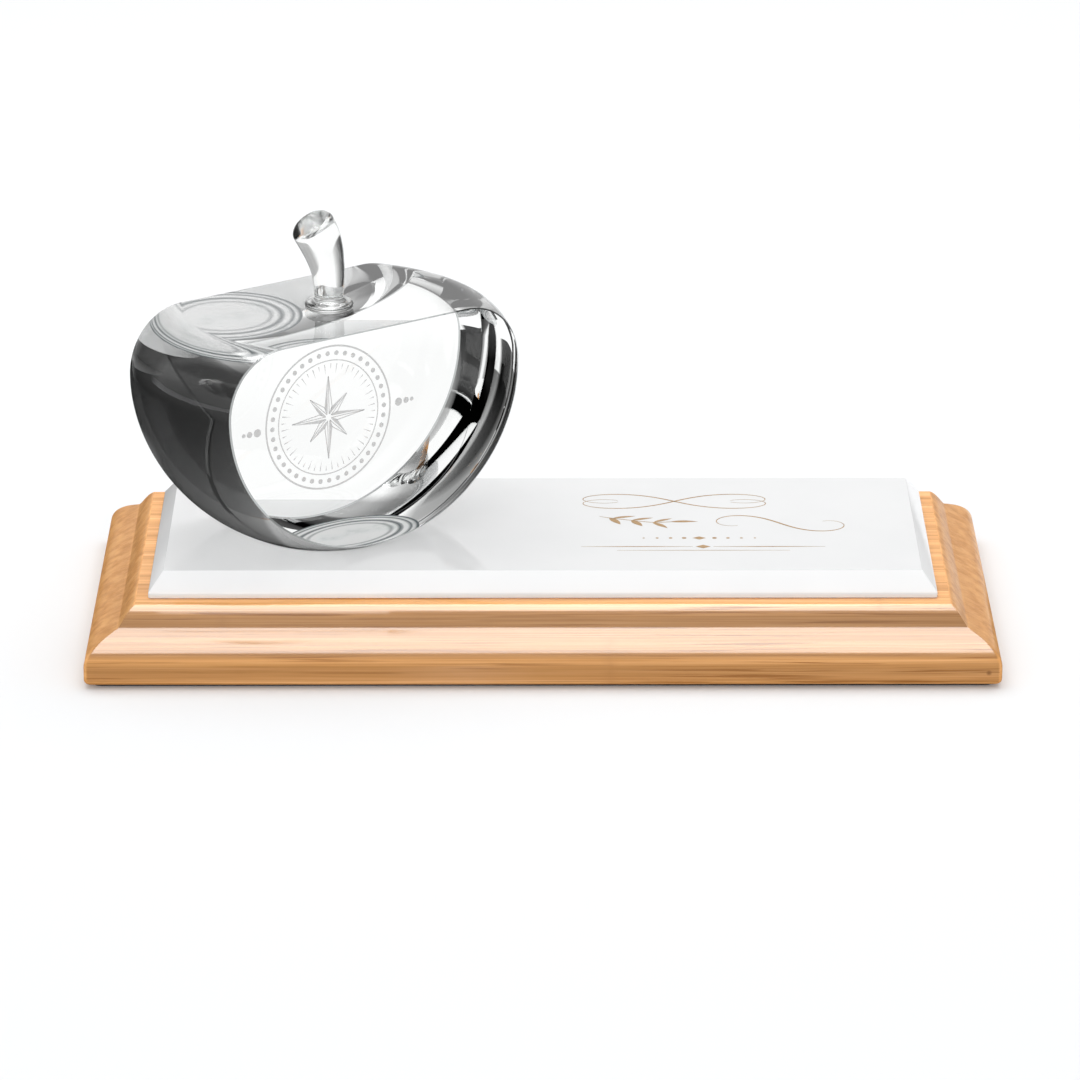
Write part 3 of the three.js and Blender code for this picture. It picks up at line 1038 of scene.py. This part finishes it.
def scroll_line(turns, samples=240):
    """A double scroll of unit size: its bend grows evenly from the middle to both ends."""
    points = [Vector((0, 0))]
    for i in range(samples):
        s = (i + 0.5) / samples
        heading = 2 * math.pi * turns * s * s
        points.append(points[-1] + Vector((math.cos(heading), math.sin(heading))) / samples)
    return [-p for p in reversed(points[1:])] + points


def scroll_panels(middle, width, height, turns, lean, widest):
    """The double scroll, turned by lean and fitted to a width and height."""
    line = scroll_line(turns)
    c, s = math.cos(lean), math.sin(lean)
    line = [Vector((p.x * c - p.y * s, p.x * s + p.y * c)) for p in line]
    span = [2 * max(abs(p[k]) for p in line) for k in (0, 1)]
    fit = [Vector((middle[0] * MM + p.x * width * MM / span[0],
                   middle[1] * MM + p.y * height * MM / span[1])) for p in line]
    return ribbon(fit, tapered(fit, widest * MM))


def mirrored(panels, middle):
    """Panels turned over about an upright line."""
    return [[(2 * middle * MM - x, y) for x, y in panel] for panel in panels]


def lozenge(middle, half_x, half_y):
    x, y = middle[0] * MM, middle[1] * MM
    return [[(x - half_x * MM, y), (x, y - half_y * MM), (x + half_x * MM, y), (x, y + half_y * MM)]]


def rule_panels(start, end, y, widest):
    line = [Vector((start + (end - start) * i / 40, y)) * MM for i in range(41)]
    return ribbon(line, tapered(line, widest * MM, 0.1 * MM))


def engraving():
    """Golden brown ornament on the plate: the leaf sprig among plain scrolls and rules."""
    # A laser's fine scan lines, which show the brown under the plate's white skin
    layers = (((600, 6500, 600), 2, 0.6), (900, 3, 0.6))
    shades = ((0.35, (0.22, 0.125, 0.042)), (0.65, (0.36, 0.225, 0.090)))
    material = grained_material("engraved_gold_brown", layers, 0.5, shades, 0.55, (0.25, 0.00004))
    _, plate_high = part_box("white_plate")
    upper = scroll_panels((39.8, 19.2), 55, 12.6, 0.78, math.radians(-52), 0.62)
    designs = {
        "engraved_leaf_sprig": [sprig_panels()],
        "engraved_scroll_upper": [upper],
        "engraved_scroll_upper_mirror": [mirrored(upper, 39.8)],
        "engraved_scroll_side": [scroll_panels((71, -0.4), 38, 13.6, 0.72, math.radians(-50), 0.7)],
        "engraved_dots": [disc((x * MM, -13.2 * MM), r * MM) for x, r in (
            (30, 0.35), (34, 0.45), (38, 0.55), (42, 0.7), (51, 0.7), (55, 0.55), (59, 0.45), (63, 0.35))]
        + [lozenge((46.5, -13.2), 2.0, 1.3)],
        "engraved_rule": [rule_panels(11.4, 44.4, -20.6, 0.5), rule_panels(50.5, 83.5, -20.6, 0.5),
                          lozenge((47.45, -20.6), 2.2, 1.5)],
        "engraved_rule_fine": [rule_panels(22, 73, -23.8, 0.3)],
    }
    for name, groups in designs.items():
        panels = [panel for group in groups for panel in group]
        mesh = thin_solid(name, panels, ENGRAVING_DEPTH)
        mesh.transform(Matrix.Translation((0, 0, plate_high.z + ENGRAVING_LIFT)))
        add_piece(name, mesh, [material])


# Studio

def stage_sheet(name, low, high, material):
    """A flat sheet between two corners that have one coordinate in common."""
    u, v = [k for k in range(3) if high[k] > low[k]]
    corners = []
    for a, b in ((low[u], low[v]), (high[u], low[v]), (high[u], high[v]), (low[u], high[v])):
        corner = list(low)
        corner[u], corner[v] = a, b
        corners.append(corner)
    shape = Shape()
    shape.face(corners)
    sheet = add_object(name, shape.mesh(name))
    sheet.data.materials.append(material)
    return sheet


def show_mixture(tree, share, first, second):
    """The material's surface: the first shader, and the second by its share."""
    inputs = {0: share, 1: first.outputs[0], 2: second.outputs[0]}
    mixed = put(tree, "ShaderNodeMixShader", inputs)
    tree.links.new(mixed.outputs[0], tree.nodes["Material Output"].inputs["Surface"])


def floor():
    """A matt white table. Glass shows it as the plain white background."""
    material, tree, shader = new_material("floor_white")
    path = put(tree, "ShaderNodeLightPath").outputs
    seen = maths(tree, "MAXIMUM", path["Is Camera Ray"], path["Is Glossy Ray"])
    fill(tree, shader, {
        "Base Color": (0.79, 0.80, 0.81), "Roughness": 0.6, "Specular IOR Level": 0,
        "Emission Color": (1, 1, 1), "Emission Strength": times(tree, seen, 0.05),
    })
    white = put(tree, "ShaderNodeEmission", {0: (1.07, 1.07, 1.07)})
    show_mixture(tree, path["Is Transmission Ray"], shader, white)
    low, high = (-FLOOR_REACH, -FLOOR_REACH, 0), (FLOOR_REACH, FLOOR_REACH, 0)
    stage_sheet("studio_floor", low, high, material)


def world():
    """White behind and above, and greyer towards the front for glass and gloss."""
    surroundings = bpy.data.worlds.new("studio")
    bpy.context.scene.world = surroundings
    surroundings.use_nodes = True
    tree = surroundings.node_tree
    background = tree.nodes["Background"]
    path = put(tree, "ShaderNodeLightPath").outputs
    mirror = maths(tree, "MAXIMUM", path["Is Glossy Ray"], path["Is Transmission Ray"])
    direction = put(tree, "ShaderNodeTexCoord").outputs["Generated"]
    side, back, up = split(tree, direction)
    lit = maths(tree, "ADD", back, times(tree, up, 1.3))
    half_lit = times(tree, maths(tree, "ADD", lit, 1.0), 0.5)
    shade = ramp(tree, half_lit, (0.05, 0.26), (0.45, 0.50), (0.75, 1.07))
    level = blend_colours(tree, path["Is Camera Ray"], (0.74, 0.74, 0.74), (1, 1, 1))
    level = blend_colours(tree, mirror, level, shade)
    beside = ramp(tree, maths(tree, "ABSOLUTE", side), (0.16, 1.0), (0.34, 0.45))
    dimmed = blend_colours(tree, 1.0, level, beside, "MULTIPLY")
    level = blend_colours(tree, path["Is Glossy Ray"], level, dimmed)
    tree.links.new(level, background.inputs["Color"])


def studio_card(name, low, high, shades, edges, seen_by):
    """A flat card with soft edges. Lamps and the camera pass through it. One that only gloss
    sees is seen from below where it hangs, and from above where it lies on the table."""
    material, tree, shader = new_material(name)
    tree.nodes.remove(shader)
    parts = split(tree, object_place(tree))
    spread = [k for k in range(3) if high[k] > low[k]]
    cover = None
    for k in spread:
        from_low = maths(tree, "SUBTRACT", parts[k], low[k])
        from_high = maths(tree, "SUBTRACT", high[k], parts[k])
        inside = maths(tree, "DIVIDE", from_high, edges[2 if k == 2 else 1], clamp=True)
        if k != 2:
            inside = times(tree, maths(tree, "DIVIDE", from_low, edges[0], clamp=True), inside)
        cover = inside if cover is None else times(tree, cover, inside)
    share = maths(tree, "DIVIDE", from_low, high[k] - low[k])
    glow = put(tree, "ShaderNodeEmission", {0: ramp(tree, share, (0.15, shades[0]), (0.9, shades[1]))})
    clear = put(tree, "ShaderNodeBsdfTransparent")
    if seen_by == "gloss":
        below = put(tree, "ShaderNodeNewGeometry").outputs["Backfacing"]
        above = maths(tree, "SUBTRACT", 1.0, below)
        cover = times(tree, cover, below if low[2] > ON_TABLE else above)
    show_mixture(tree, cover, clear, glow)
    card = stage_sheet(name, low, high, material)
    card.visible_camera = card.visible_diffuse = card.visible_shadow = False
    card.visible_transmission = seen_by != "gloss"
    card.visible_glossy = seen_by != "glass"


def softbox(name, place, aim, size, power):
    lamp = bpy.data.lights.new(name, "AREA")
    lamp.shape = "RECTANGLE"
    lamp.size, lamp.size_y = size
    lamp.energy = power
    box = add_object(name, lamp)
    box.location = place
    box.rotation_mode = "QUATERNION"
    box.rotation_quaternion = (Vector(aim) - Vector(place)).to_track_quat("-Z", "Y")
    box.visible_transmission = False
    box.visible_glossy = False


def camera():
    lens = bpy.data.cameras.new("camera")
    lens.sensor_width = SENSOR_WIDTH
    lens.lens = SENSOR_WIDTH * FOCAL_PIXELS / IMAGE_SIZE
    lens.clip_start, lens.clip_end = 0.05, 50
    view = add_object("camera", lens)
    view.location = CAMERA_PLACE
    view.rotation_euler = (math.pi / 2 - CAMERA_PITCH, 0, -CAMERA_YAW)
    bpy.context.scene.camera = view


camera()
world()
floor()
for card_name, card_values in CARDS.items():
    studio_card(card_name, *card_values)
softbox("softbox_top", (0, 0.42, 1.25), (0, 0, 0), (1.6, 1.1), 10.5)
softbox("softbox_front", (0.0, -1.7, 0.6), (0, 0, 0), (1.6, 0.6), 8.0)

bamboo_board()
felt_and_tape()
white_plate()
clear_crystal = glass_material("clear_crystal")
glass_apple(clear_crystal)
glass_stem()
clear_adhesive = glass_material("clear_adhesive", (0.97, 0.98, 0.975), 0.08, 1.5)
adhesive_film("apple_bond_film", "apple_adhesive_film", clear_adhesive)
adhesive_film("stem_bond_film", "stem_adhesive_film", clear_adhesive)
etched_rosette()
engraving()

bpy.context.scene.view_settings.view_transform = "Standard"
bpy.context.view_layer.update()
